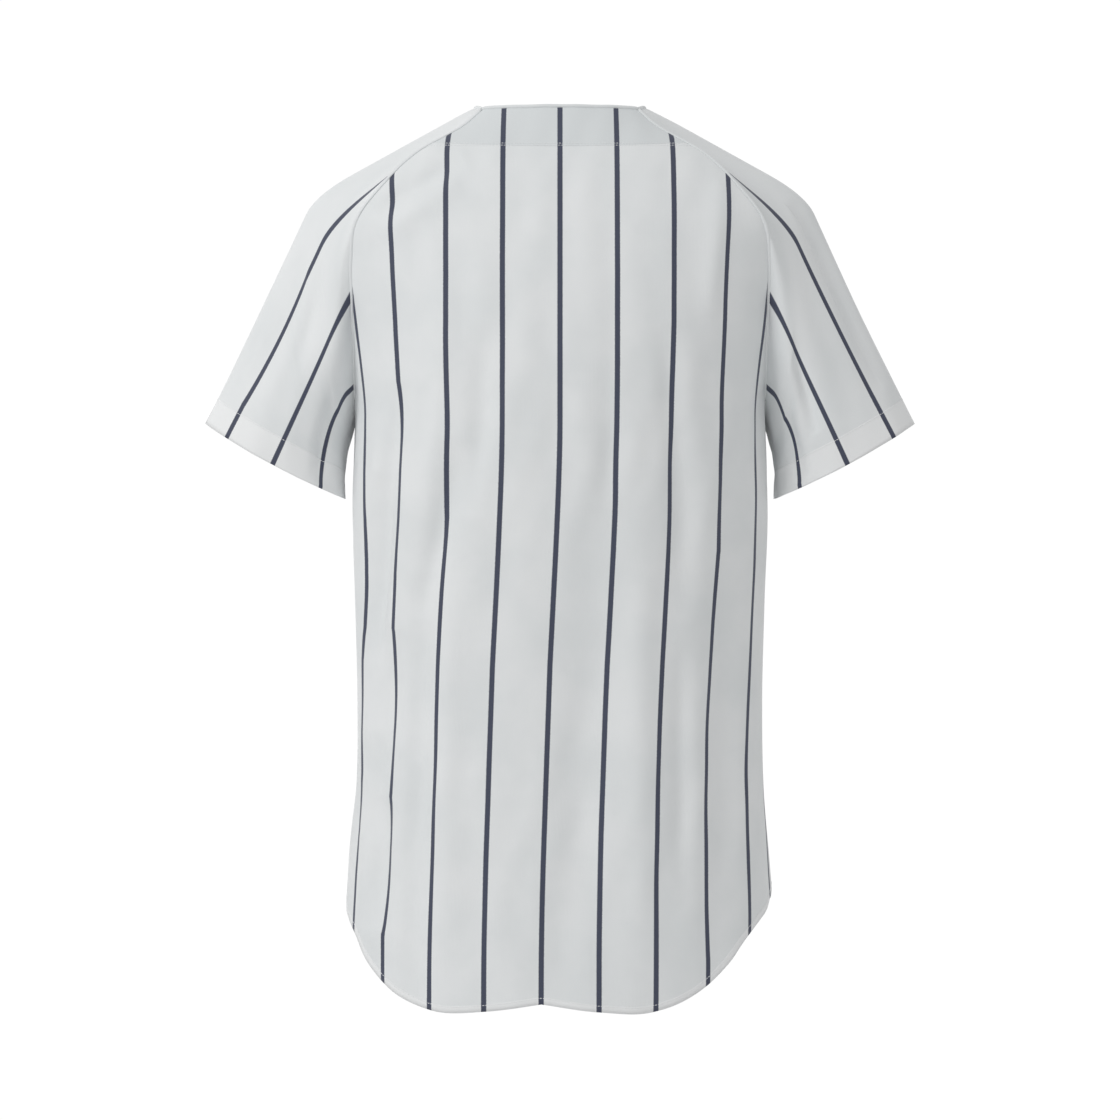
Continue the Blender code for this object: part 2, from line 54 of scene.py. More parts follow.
NECK_DROP_Z = -0.113
NECK_CURVE = 1.55
NECK_TIP_ANGLE = 0.25
TUCK_START_X = 0.050
TUCK_END_X = 0.022
UNDER_LAP_DEPTH = 0.0018
HEM_TURN = 0.088
TAIL_TOP_Z = -0.50
ARMPIT_Z = -0.285
SIDE_HEM_Z = -0.706
BEND_LENGTH = 0.040
SLEEVE_FLARE = 0.003
SLEEVE_LENGTH = 0.27
CUFF_TOP = np.array([0.3248, -0.004, -0.2830])
CUFF_BOTTOM = np.array([0.1960, -0.004, -0.3520])
CUFF_HALF_DEPTH = 0.053
CUFF_BOW = 0.004
BUTTON_RADIUS = 0.0095
BUTTON_THICKNESS = 0.0030
BUTTON_COUNT = 6
BUTTON_TOP_Z = -0.127
BUTTON_SPACING = 0.105
FACING_DEPTH_MIDDLE = 0.0395
FACING_DEPTH_END = 0.0340
FACING_SIDE_CLEARANCE = 0.004

# Stripes and sewing
STRIPE_PITCH = 0.0508
STRIPE_WIDTH = 0.0047
HEM_DEPTH = 0.0063
CUFF_HEM_DEPTH = 0.0255
TWIN_GAP = 0.0020
STITCH_PITCH = 0.0027
STITCH_LENGTH = 0.0021
THREAD_RADIUS = 0.00026
SEAM_RIDGE_HALF = 0.0016
SEAM_RIDGE_HEIGHT = 0.0010
BINDING_HALF = 0.0017
SEAM_ROLL = 0.0007
SEAM_ROLL_WIDTH = 0.0026
SEAM_CALM = 0.022
RIDGE_LIFT = 0.0003
BODY_SHARE_OF_RIDGE = 0.6
FACING_SETBACK = 0.0019
FACING_TOP_CLEARANCE = 0.002
FACED_ABOVE_Z = -0.06
TWIN_LIFT = 0.0006
HEM_STITCH_INSET = 0.0008
CUFF_STITCH_INSET = 0.0010

# Buttons: their rings from the back to the dished face, as shares of the radius and thickness
BUTTON_RINGS = [(0.80, 0.0), (0.93, 0.12), (1.0, 0.38), (1.0, 0.62), (0.95, 0.86), (0.86, 1.0),
                (0.76, 0.97), (0.68, 0.80), (0.60, 0.70), (0.30, 0.66)]
BUTTON_DISH = 0.65
BUTTON_SIDES = 48
BUTTON_LIFT = 0.0006
HOLE_RADIUS = 0.00095
HOLE_OFFSET = 0.0017
BUTTONHOLE_HALF = 0.0012
BUTTONHOLE_PAST_BUTTON = 0.0010

# Slight ripples of the hanging cloth
RIPPLES = 16
RIPPLE_DEPTH = 0.00022
RIPPLE_WAVES = (0.030, 0.085)
RIPPLE_LEANS = (-0.35, 0.35)
RIPPLE_SWELLS = (9, 22)
CREASE_TAPER = 0.7
RIGHT_FRONT_CREASE_SHIFT = 0.006

# Grid sizes
RAGLAN_ROWS = 104
SIDE_ROWS = 128
BACK_COLUMNS = 172
FRONT_COLUMNS = 92
BAND_COLUMNS = 12
NECK_EDGE_COLUMNS = 14
SLEEVE_ROWS = 84
DENSE = 361
CLOSE_EDGES = np.array([0.0008, 0.0020, 0.0038, 0.0062])
BACK_ROW_LENGTH = 0.43
FRONT_ROW_LENGTH = 0.2
BAND_EASE_ROWS = 6
BAND_LEAST_COLUMN = 0.0008
SHORT_ROW = 0.03
SHORT_ROW_BAND_START = 0.8
NECK_LAP_START_X = 0.04

# The photograph: its frame at the garment's middle, and where the camera stands
VIEW_DISTANCE = 3.0
VIEW_WIDTH = 1.0248
VIEW_HEIGHT_Z = -0.408
SENSOR = 36.0
FLOOR_Z = -1.16
FLOOR_RADIUS = 1.25
LAMPS_AIM = np.array([0, 0, -0.35])

# The seam between body and sleeve. across: how far from the sleeve's centre line it is cut there
Seam = namedtuple("Seam", "x y z across")
BACK_RAGLAN = [
    Seam(0.0700, 0.046, -0.001, 0.0330),
    Seam(0.0846, 0.052, -0.015, 0.0365),
    Seam(0.1277, 0.066, -0.042, 0.0500),
    Seam(0.1600, 0.074, -0.074, 0.0640),
    Seam(0.1800, 0.075, -0.100, 0.0750),
    Seam(0.1870, 0.068, -0.140, 0.0900),
    Seam(0.1868, 0.060, -0.174, 0.1030),
    Seam(0.1862, 0.045, -0.220, 0.1300),
    Seam(0.1865, 0.020, -0.262, 0.1650),
    Seam(0.1875, SIDE_SEAM_Y, ARMPIT_Z, 0.2000),
]
FRONT_RAGLAN = [
    Seam(0.0740, -0.024, -0.012, 0.0340),
    Seam(0.0950, -0.050, -0.045, 0.0420),
    Seam(0.1250, -0.075, -0.085, 0.0550),
    Seam(0.1500, -0.088, -0.130, 0.0720),
    Seam(0.1680, -0.086, -0.180, 0.0950),
    Seam(0.1790, -0.066, -0.230, 0.1280),
    Seam(0.1850, -0.035, -0.265, 0.1650),
    Seam(0.1875, SIDE_SEAM_Y, ARMPIT_Z, 0.2000),
]
SLEEVE_NECK_TOP = Seam(0.0775, 0.012, 0.0035, 0.0)

# Body sections: where the form's back and front lie on the centre line
Profile = namedtuple("Profile", "z y")
BACK_PROFILE = [
    Profile(-0.001, 0.061),
    Profile(-0.030, 0.077),
    Profile(-0.060, 0.092),
    Profile(-0.100, 0.107),
    Profile(-0.150, 0.119),
    Profile(-0.220, 0.128),
    Profile(-0.300, 0.131),
    Profile(-0.420, 0.126),
    Profile(-0.540, 0.122),
    Profile(-0.660, 0.126),
    Profile(-0.820, 0.133),
]
FRONT_PROFILE = [
    Profile(-0.012, -0.050),
    Profile(-0.050, -0.075),
    Profile(-0.085, -0.093),
    Profile(-0.130, -0.116),
    Profile(-0.180, -0.134),
    Profile(-0.240, -0.144),
    Profile(-0.320, -0.146),
    Profile(-0.440, -0.139),
    Profile(-0.560, -0.135),
    Profile(-0.680, -0.137),
    Profile(-0.820, -0.142),
]
Width = namedtuple("Width", "z half")
BODY_WIDTH = [
    Width(ARMPIT_Z, 0.1875),
    Width(-0.350, 0.1895),
    Width(-0.450, 0.1870),
    Width(-0.540, 0.1850),
    Width(-0.620, 0.1865),
    Width(-0.680, 0.1915),
    Width(-0.720, 0.1945),
    Width(-0.820, 0.1965),
]

# Shirt-tail hem. across: 0 on the centre line, 1 at the side seam
Hem = namedtuple("Hem", "across z")
BACK_HEM = [
    Hem(0.00, -0.797),
    Hem(0.19, -0.804),
    Hem(0.36, -0.805),
    Hem(0.56, -0.784),
    Hem(0.75, -0.742),
    Hem(0.92, -0.717),
    Hem(1.00, SIDE_HEM_Z),
]
FRONT_HEM = [
    Hem(0.00, -0.782),
    Hem(0.19, -0.786),
    Hem(0.36, -0.785),
    Hem(0.56, -0.768),
    Hem(0.75, -0.735),
    Hem(0.92, -0.716),
    Hem(1.00, SIDE_HEM_Z),
]

# Where the sleeve turns down over the shoulder, listed from the underarm over the back to the front
Bend = namedtuple("Bend", "across x y z")
SLEEVE_BEND = [
    Bend(0.2000, 0.1902, SIDE_SEAM_Y, -0.300),
    Bend(0.1524, 0.1965, 0.042, -0.262),
    Bend(0.1016, 0.2020, 0.067, -0.200),
    Bend(0.0508, 0.2070, 0.050, -0.106),
    Bend(0.0000, 0.2261, 0.006, -0.0738),
    Bend(-0.0508, 0.2080, -0.046, -0.112),
    Bend(-0.1016, 0.2020, -0.074, -0.200),
    Bend(-0.1524, 0.1965, -0.052, -0.262),
    Bend(-0.2000, 0.1902, SIDE_SEAM_Y, -0.300),
]

# Creases, each from one point of the cut panel to another. around: metres from the centre line,
# towards +X on the back; down: height on the body, metres from the armhole on a sleeve; depth: into
# the cloth, negative for a ridge
Crease = namedtuple("Crease", "around down around_end down_end width depth")
BACK_CREASES = [
    # From the left shoulder blade down to the side
    Crease(0.150, -0.250, 0.190, -0.500, 0.014, 0.0070),
    Crease(0.178, -0.330, 0.178, -0.560, 0.018, 0.0090),
    Crease(0.148, -0.470, 0.178, -0.660, 0.018, 0.0080),
    Crease(0.162, -0.620, 0.162, -0.740, 0.018, 0.0100),
    # The long folds left of the middle
    Crease(0.088, -0.300, 0.122, -0.460, 0.012, 0.0060),
    Crease(0.118, -0.420, 0.118, -0.800, 0.014, 0.0060),
    Crease(0.098, -0.160, 0.124, -0.400, 0.012, -0.0030),
    Crease(0.093, -0.420, 0.088, -0.740, 0.014, -0.0040),
    Crease(0.065, -0.200, 0.077, -0.370, 0.012, 0.0040),
    # The shallow fall right of the middle
    Crease(-0.046, -0.160, -0.044, -0.400, 0.013, 0.0030),
    Crease(-0.040, -0.360, -0.022, -0.800, 0.024, 0.0070),
    Crease(-0.073, -0.340, -0.090, -0.800, 0.016, -0.0040),
    Crease(-0.095, -0.200, -0.120, -0.460, 0.013, 0.0050),
    Crease(-0.118, -0.480, -0.126, -0.720, 0.010, 0.0040),
    # The right side
    Crease(-0.165, -0.400, -0.170, -0.760, 0.022, 0.0080),
    Crease(-0.145, -0.068, -0.135, -0.194, 0.010, -0.0030),
    # Under the left shoulder
    Crease(0.086, -0.052, 0.165, -0.098, 0.010, 0.0040),
    Crease(0.090, -0.070, 0.165, -0.122, 0.012, -0.0030),
]
FRONT_CREASES = [
    Crease(0.070, -0.100, 0.135, -0.210, 0.013, 0.0035),
    Crease(0.092, -0.240, 0.118, -0.480, 0.014, 0.0055),
    Crease(0.120, -0.440, 0.116, -0.780, 0.016, 0.0065),
    Crease(0.150, -0.270, 0.186, -0.500, 0.016, 0.0075),
    Crease(0.172, -0.500, 0.168, -0.720, 0.018, 0.0080),
    Crease(0.062, -0.300, 0.072, -0.560, 0.015, -0.0030),
    Crease(0.075, -0.560, 0.066, -0.780, 0.015, 0.0040),
    Crease(0.140, -0.520, 0.142, -0.740, 0.012, -0.0030),
]
LEFT_SLEEVE_CREASES = [
    Crease(0.142, 0.080, 0.150, 0.262, 0.012, 0.0060),
    Crease(0.073, 0.090, 0.078, 0.160, 0.011, 0.0030),
    Crease(0.053, 0.130, 0.049, 0.240, 0.012, 0.0040),
    Crease(-0.070, 0.070, -0.082, 0.220, 0.013, 0.0045),
    Crease(-0.130, 0.080, -0.140, 0.250, 0.013, 0.0060),
]
RIGHT_SLEEVE_CREASES = [
    Crease(0.026, 0.110, 0.032, 0.240, 0.010, 0.0075),
    Crease(0.108, 0.080, 0.116, 0.200, 0.010, 0.0055),
    Crease(0.150, 0.100, 0.150, 0.260, 0.012, 0.0050),
    Crease(-0.060, 0.060, -0.074, 0.210, 0.013, 0.0050),
    Crease(-0.128, 0.090, -0.134, 0.250, 0.013, 0.0055),
]
LEFT, RIGHT = 1, -1


# Curves and grids, as in the part's source


def spline(xs, ys, x):
    """A smooth curve through the points, read at x. ys may hold several columns."""
    xs, ys, x = np.asarray(xs, float), np.asarray(ys, float), np.asarray(x, float)
    if xs[0] > xs[-1]:
        xs, ys = xs[::-1], ys[::-1]
    step = np.diff(xs)
    columns = ys.reshape(len(xs), -1)
    rise = np.diff(columns, axis=0) / step[:, None]
    slope = np.vstack([rise[:1], (rise[:-1] * step[1:, None] + rise[1:] * step[:-1, None])
                       / (step[:-1] + step[1:])[:, None], rise[-1:]])
    at = np.clip(np.searchsorted(xs, x.ravel()) - 1, 0, len(xs) - 2)
    t = np.clip((x.ravel() - xs[at]) / step[at], 0, 1)[:, None]
    width = step[at][:, None]
    found = (
        columns[at] * (1 + 2 * t) * (1 - t) ** 2
        + slope[at] * width * t * (1 - t) ** 2
        + columns[at + 1] * t**2 * (3 - 2 * t)
        - slope[at + 1] * width * t**2 * (1 - t)
    )
    return found.reshape(x.shape + ys.shape[1:])


def read(table, key, name, at):
    return spline([getattr(row, key) for row in table], [getattr(row, name) for row in table], at)


def smoothstep(t):
    t = np.clip(t, 0, 1)
    return t * t * (3 - 2 * t)


def unit(vectors):
    return vectors / np.linalg.norm(vectors, axis=-1, keepdims=True)


def lengths(points):
    """Distance along a line of points, from 0."""
    return np.concatenate([[0], np.cumsum(np.linalg.norm(np.diff(points, axis=0), axis=1))])


def spread(points, count):
    """Positions, as a fraction of the index, of count + 1 points evenly spaced along a line."""
    run = lengths(points)
    return np.interp(np.linspace(0, run[-1], count + 1), run, np.linspace(0, 1, len(points)))


def seam_points(raglan, count):
    """count + 1 points evenly spaced down a raglan seam, as x, y, z and across."""
    z = np.linspace(raglan[0].z, raglan[-1].z, DENSE)
    line = np.column_stack([read(raglan, "z", name, z) for name in ("x", "y", "z", "across")])
    at = spread(line[:, :3], count) * (DENSE - 1)
    return np.column_stack([np.interp(at, range(DENSE), line[:, i]) for i in range(4)])


def half_width(raglan, profile, z):
    """Half the width of the oval through the raglan seam, or of the body under the armpit."""
    reach = read(profile, "z", "y", z) - SIDE_SEAM_Y
    seam_z = np.maximum(z, ARMPIT_Z)
    rise = np.clip((read(raglan, "z", "y", seam_z) - SIDE_SEAM_Y) / reach, 0, 0.999)
    seam = read(raglan, "z", "x", seam_z) / (1 - rise**SQUARENESS) ** (1 / SQUARENESS)
    return np.where(z >= ARMPIT_Z, seam, read(BODY_WIDTH, "z", "half", np.minimum(z, ARMPIT_Z)))


def seam_angle(raglan, profile, z):
    """Angle round the oval, from the centre line, of the seam that ends the row at height z."""
    reach = read(profile, "z", "y", z) - SIDE_SEAM_Y
    rise = np.clip((read(raglan, "z", "y", z) - SIDE_SEAM_Y) / reach, 0, 0.999)
    return np.arccos(rise ** (SQUARENESS / 2))


def oval(raglan, profile, angle, z):
    """Points of the body's form at an angle from the centre line and a height."""
    power = 2 / SQUARENESS
    sine, cosine = np.sin(angle), np.cos(angle)
    x = half_width(raglan, profile, z) * np.sign(sine) * np.abs(sine) ** power
    beyond = FRONT_PROFILE if profile is BACK_PROFILE else BACK_PROFILE
    reach = np.where(cosine < 0, SIDE_SEAM_Y - read(beyond, "z", "y", z),
                     read(profile, "z", "y", z) - SIDE_SEAM_Y)
    y = SIDE_SEAM_Y + reach * np.sign(cosine) * np.abs(cosine) ** power
    return np.stack([x, y, z + 0 * x], axis=-1)


def row(raglan, profile, angles, heights, fractions):
    """A row of the body from one angle and height to another, spaced by fractions of its length."""
    t = np.linspace(0, 1, DENSE)
    path = oval(raglan, profile, angles[0] + (angles[1] - angles[0]) * t,
                heights[0] + (heights[1] - heights[0]) * t)
    run = lengths(path)
    at = np.interp(fractions * run[-1], run, t)
    angle = angles[0] + (angles[1] - angles[0]) * at
    return angle, heights[0] + (heights[1] - heights[0]) * at


def turn(z):
    """How far the side seams and the centre line have turned towards +X at a height."""
    return HEM_TURN * smoothstep((ARMPIT_Z - z) / (ARMPIT_Z - SIDE_HEM_Z))


def side_levels():
    return np.linspace(ARMPIT_Z, SIDE_HEM_Z, SIDE_ROWS + 1)[1:]


def tail(hem, z, across):
    """Height of a row's points: level at TAIL_TOP_Z, and the hem's curve in the last row."""
    drop = read(hem, "across", "z", np.abs(across)) - SIDE_HEM_Z
    return z + drop * np.clip((TAIL_TOP_Z - z) / (TAIL_TOP_Z - SIDE_HEM_Z), 0, 1)


def grid_normals(grid, closed=False):
    """Outward unit normals of a grid of points, which is closed on its second axis or not."""
    if closed:
        wide = np.concatenate([grid[:, -2:-1], grid, grid[:, 1:2]], axis=1)
        along_row = wide[:, 2:] - wide[:, :-2]
    else:
        along_row = np.gradient(grid, axis=1)
    return unit(np.cross(np.gradient(grid, axis=0), along_row))


def close_edges(count, width):
    """Fractions from 0 to 1 with closer ones at both ends, where a seam rolls the cloth in."""
    near = CLOSE_EDGES / width
    return np.sort(np.concatenate([np.linspace(0, 1, count + 1), near, 1 - near]))


# Creases and the fall of the cloth


def creased(around, down, creases):
    """How far each crease pushes the cloth in: a soft trough or ridge along a line."""
    push = np.zeros(around.shape)
    for crease in creases:
        reach = np.array([crease.around_end - crease.around, crease.down_end - crease.down])
        off_around, off_down = around - crease.around, down - crease.down
        along = np.clip((off_around * reach[0] + off_down * reach[1]) / (reach @ reach), 0, 1)
        distance = np.hypot(off_around - along * reach[0], off_down - along * reach[1])
        taper = np.sin(np.pi * along) ** CREASE_TAPER
        push += crease.depth * taper * np.exp(-((distance / crease.width) ** 2))
    return push


def rippled(around, down, seed):
    """Slight unevenness of hanging cloth, made of long waves that run mostly down it."""
    chance = np.random.default_rng(seed)
    push = np.zeros(around.shape)
    for _ in range(RIPPLES):
        wave = chance.uniform(*RIPPLE_WAVES)
        lean = chance.uniform(*RIPPLE_LEANS)
        phase = chance.uniform(0, 2 * np.pi, 2)
        swell = 0.5 + 0.5 * np.sin(down * chance.uniform(*RIPPLE_SWELLS) + phase[1])
        ripple = np.sin(2 * np.pi * (around + lean * down) / wave + phase[0])
        push += RIPPLE_DEPTH * swell * ripple
    return push


def rolled(distance):
    """The cloth's edge rolls in at a seam."""
    return SEAM_ROLL * np.exp(-((distance / SEAM_ROLL_WIDTH) ** 2))


def back_grid():
    """The back's points, and how far round from the centre line each is cut."""
    fractions = close_edges(BACK_COLUMNS, BACK_ROW_LENGTH)
    across = 1 - 2 * fractions
    rows = []
    for z in seam_points(BACK_RAGLAN, RAGLAN_ROWS)[:, 2]:
        end = seam_angle(BACK_RAGLAN, BACK_PROFILE, z)
        angle, height = row(BACK_RAGLAN, BACK_PROFILE, (end, -end), (z, z), fractions)
        rows.append(oval(BACK_RAGLAN, BACK_PROFILE, angle, height))
    for z in side_levels():
        ends = (np.pi / 2 + turn(z), -np.pi / 2 + turn(z))
        angle, _ = row(BACK_RAGLAN, BACK_PROFILE, ends, (z, z), fractions)
        rows.append(oval(BACK_RAGLAN, BACK_PROFILE, angle, tail(BACK_HEM, z, across)))
    grid = np.array(rows)
    around = np.array([lengths(line[:, :2]) for line in grid])
    around = around[:, -1:] / 2 - around
    from_seam = around[:, :1] - np.abs(around)
    push = creased(around, grid[..., 2], BACK_CREASES) + rippled(around, grid[..., 2], 3)
    push = push * smoothstep(from_seam / SEAM_CALM) + rolled(from_seam)
    grid = grid - grid_normals(grid) * push[..., None]
    return grid, cut_around(grid, around)


def cut_around(grid, around):
    """Distance round the creased cloth, so that stripes draw together where a crease takes it up."""
    run = np.array([lengths(line[:, :2]) for line in grid])
    middle = [np.interp(0, line[::-1], length[::-1]) for line, length in zip(around, run)]
    return np.array(middle)[:, None] - run


def front_rows(side):
    """Ends of a front's rows: inner x and z, then outer angle and height, from the neck down."""
    seam = seam_points(FRONT_RAGLAN, RAGLAN_ROWS)
    neck_rows = int(np.argmin(np.abs(seam[:, 2] - NECK_DROP_Z)))
    top = FRONT_RAGLAN[0]
    t = np.linspace(NECK_TIP_ANGLE, np.pi / 2, DENSE)
    power = 2 / NECK_CURVE
    line = np.column_stack([top.x * np.cos(t) ** power,
                            top.z + (NECK_DROP_Z - top.z) * np.sin(t) ** power])
    at = spread(line, neck_rows) * (DENSE - 1)
    x, z = (np.interp(at, range(DENSE), line[:, i]) for i in (0, 1))
    inner = list(zip(x - OVERLAP * smoothstep(1 - x / NECK_LAP_START_X), z))
    below = np.linspace(NECK_DROP_Z, ARMPIT_Z, RAGLAN_ROWS - neck_rows + 1)[1:]
    inner += [(-OVERLAP, z) for z in below]
    outer = [(seam_angle(FRONT_RAGLAN, FRONT_PROFILE, z), z) for z in seam[:, 2]]
    for z in side_levels():
        inner.append((-OVERLAP, z))
        outer.append((np.pi / 2 - side * turn(z), z))
    return inner, outer, neck_rows


def angle_at(x, z):
    """Angle round the front's oval of a point x from the middle."""
    width = half_width(FRONT_RAGLAN, FRONT_PROFILE, np.array(z))
    return np.arcsin(np.sign(x) * np.abs(x / width) ** (SQUARENESS / 2))


def front_grid(side):
    """A front's points from neck to hem, its distances round, and the row where its band starts."""
    inner, outer, neck_rows = front_rows(side)
    plain = np.sort(np.concatenate([np.linspace(0, 1, FRONT_COLUMNS - BAND_COLUMNS + 1),
                                    CLOSE_EDGES / FRONT_ROW_LENGTH]))
    rows, starts = [], []
    for i, ((x, z_in), (end, z_out)) in enumerate(zip(inner, outer)):
        start = angle_at(x, z_in)
        path = oval(FRONT_RAGLAN, FRONT_PROFILE, np.linspace(end, start, DENSE),
                    np.linspace(z_out, z_in, DENSE))
        whole = lengths(path)[-1]
        ease = smoothstep((i + BAND_EASE_ROWS - neck_rows) / BAND_EASE_ROWS)
        narrowest = 1 - BAND_COLUMNS * BAND_LEAST_COLUMN / whole
        band_start = min(1 - BAND_WIDTH / whole * ease, narrowest)
        if whole <= SHORT_ROW:
            band_start = SHORT_ROW_BAND_START
        band = np.linspace(band_start, 1, BAND_COLUMNS + 1)
        fractions = np.concatenate([plain[:-1] * band_start, band])
        angle, height = row(FRONT_RAGLAN, FRONT_PROFILE, (end, start), (z_out, z_in), fractions)
        if z_out < ARMPIT_Z:
            height = tail(FRONT_HEM, z_out, 1 - fractions)
        rows.append(oval(FRONT_RAGLAN, FRONT_PROFILE, angle, height))
        to_middle = oval(FRONT_RAGLAN, FRONT_PROFILE, np.linspace(0, start, DENSE),
                         np.full(DENSE, z_in))
        starts.append(np.sign(start) * lengths(to_middle[:, :2])[-1])
    grid = np.array(rows)
    from_seam = np.array([lengths(line[:, :2]) for line in grid])
    around = from_seam[:, -1:] - from_seam + np.array(starts)[:, None]
    shift = 0.0 if side == LEFT else RIGHT_FRONT_CREASE_SHIFT
    down = grid[..., 2]
    push = creased(around - shift, down, FRONT_CREASES) + rippled(around, down, 7 + side)
    push = push * smoothstep(from_seam / SEAM_CALM)
    push = push * smoothstep((grid[..., 0] - BAND_WIDTH) / BAND_WIDTH) + rolled(from_seam)
    grid = grid + grid_normals(grid) * push[..., None]
    if side == LEFT:
        return grid[:, ::-1], around[:, ::-1], neck_rows
    under = smoothstep((TUCK_START_X - grid[..., 0]) / (TUCK_START_X - TUCK_END_X))
    grid[..., 1] += UNDER_LAP_DEPTH * under
    grid[..., 0] *= -1
    return grid, -around, neck_rows


def sleeve_loop():
    """The points that a sleeve starts from, up the front seam, along the neck, down the back."""
    back = seam_points(BACK_RAGLAN, RAGLAN_ROWS)
    front = seam_points(FRONT_RAGLAN, RAGLAN_ROWS)[::-1]
    front[:, 3] *= -1
    ends = np.array([front[-1], SLEEVE_NECK_TOP, back[0]])
    across = np.linspace(ends[0, 3], ends[-1, 3], NECK_EDGE_COLUMNS + 1)[1:-1]
    neck = spline(ends[:, 3], ends, across)
    return np.vstack([front, neck, back])


def cuff_points(across):
    """Points of the cuff's oval at distances round it from its top."""
    centre, half = (CUFF_TOP + CUFF_BOTTOM) / 2, (CUFF_TOP - CUFF_BOTTOM) / 2
    angle = np.linspace(-np.pi, np.pi, 4 * DENSE)
    depth = np.array([0, CUFF_HALF_DEPTH, 0])
    ring = centre + np.cos(angle)[:, None] * half + np.sin(angle)[:, None] * depth
    run = lengths(ring)
    at = np.interp((across / (2 * across.max()) + 0.5) * run[-1], run, angle)[:, None]
    bow = np.array([0, 0, CUFF_BOW]) * np.sin(at) ** 2
    return centre + np.cos(at) * half + np.sin(at) * depth - bow


def sleeve_column(start, bend, end, fractions):
    """A line from the armhole straight to the bend, round it and straight on to the cuff."""
    into, out = unit(bend - start), unit(end - bend)
    reach = min(BEND_LENGTH, 0.45 * np.linalg.norm(bend - start))
    before, after = bend - into * reach, bend + out * BEND_LENGTH * 0.5
    t = np.linspace(0, 1, 25)[:, None]
    turned = before * (1 - t) ** 2 + 2 * bend * t * (1 - t) + after * t**2
    line = np.vstack([start, turned, end])
    run = lengths(line)
    return np.column_stack([np.interp(fractions * run[-1], run, line[:, i]) for i in range(3)])


def sleeve_grid(creases, seed):
    """The left sleeve's points from the armhole to the cuff, and where across each is cut."""
    loop = sleeve_loop()
    across = loop[:, 3]
    bend = np.column_stack([read(SLEEVE_BEND, "across", name, across) for name in "xyz"])
    cuff = cuff_points(across)
    fractions = np.sort(np.concatenate([np.linspace(0, 1, SLEEVE_ROWS + 1),
                                        CLOSE_EDGES[:3] / SLEEVE_LENGTH]))
    columns = [sleeve_column(start, corner, end, fractions)
               for start, corner, end in zip(loop[:, :3], bend, cuff)]
    grid = np.array(columns).transpose(1, 0, 2)
    around = np.tile(across, (len(fractions), 1))
    down = np.tile(fractions[:, None] * SLEEVE_LENGTH, (1, len(across)))
    inward = 4 * fractions * (1 - fractions) * smoothstep(fractions * 2) * SLEEVE_FLARE
    push = creased(around, down, creases) + rippled(around, down, seed)
    push = push * smoothstep(down / SEAM_CALM) + rolled(down) + inward[:, None]
    push += rolled(across.max() - np.abs(around))
    normals = grid_normals(grid, closed=True)
    return grid - normals * push[..., None], around, down


# Meshes


def shown(name, mesh, finish):
    """Puts a mesh in the scene as a piece that rides on the garment."""
    mesh.materials.append(finish)
    mesh.shade_smooth()
    piece = bpy.data.objects.new(name, mesh)
    bpy.context.scene.collection.objects.link(piece)
    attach(piece, "root")
    return piece


def grid_faces(rows, columns):
    corner = (np.arange(rows - 1)[:, None] * columns + np.arange(columns - 1)).ravel()
    return np.column_stack([corner, corner + columns, corner + columns + 1, corner + 1])


def shell(name, grid, around, down, finish, hem=None, facing=None, thickness=CLOTH):
    """A thin shell of cloth, with its cut as its UV map and its distances from a hem and facing."""
    mesh = bpy.data.meshes.new(name)
    rows, columns = grid.shape[:2]
    mesh.from_pydata(grid.reshape(-1, 3).tolist(), [], grid_faces(rows, columns).tolist())
    corners = np.empty(len(mesh.loops), np.int32)
    mesh.loops.foreach_get("vertex_index", corners)
    cut = np.column_stack([around.ravel(), down.ravel()])[corners]
    mesh.uv_layers.new(name="cut").uv.foreach_set("vector", cut.astype(np.float32).ravel())
    for kind, values in (("hem", hem), ("facing", facing)):
        held = mesh.attributes.new(kind, "FLOAT", "POINT")
        values = np.ones(rows * columns) if values is None else values.ravel()
        held.data.foreach_set("value", values.astype(np.float32))
    piece = shown(name, mesh, finish)
    wall = piece.modifiers.new("wall", "SOLIDIFY")
    wall.thickness, wall.offset = thickness, -1
    return piece


def swept(name, line, normals, half, height, finish, sides=10):
    """A narrow rounded strip along a line: half wide each way, and as high as it says."""
    tangent = unit(np.gradient(line, axis=0))
    across = unit(np.cross(tangent, normals))
    angle = np.linspace(0, 2 * np.pi, sides + 1)[:-1]
    points = (line[:, None] + np.cos(angle)[:, None] * across[:, None] * half
              + np.sin(angle)[:, None] * normals[:, None] * height)
    count = len(line)
    ring = np.arange(sides)
    faces = [[i * sides + j, (i + 1) * sides + j, (i + 1) * sides + (j + 1) % sides,
              i * sides + (j + 1) % sides] for i in range(count - 1) for j in ring]
    faces += [list(ring), list(ring[::-1] + (count - 1) * sides)]
    mesh = bpy.data.meshes.new(name)
    mesh.from_pydata(points.reshape(-1, 3).tolist(), [], faces)
    return shown(name, mesh, finish)


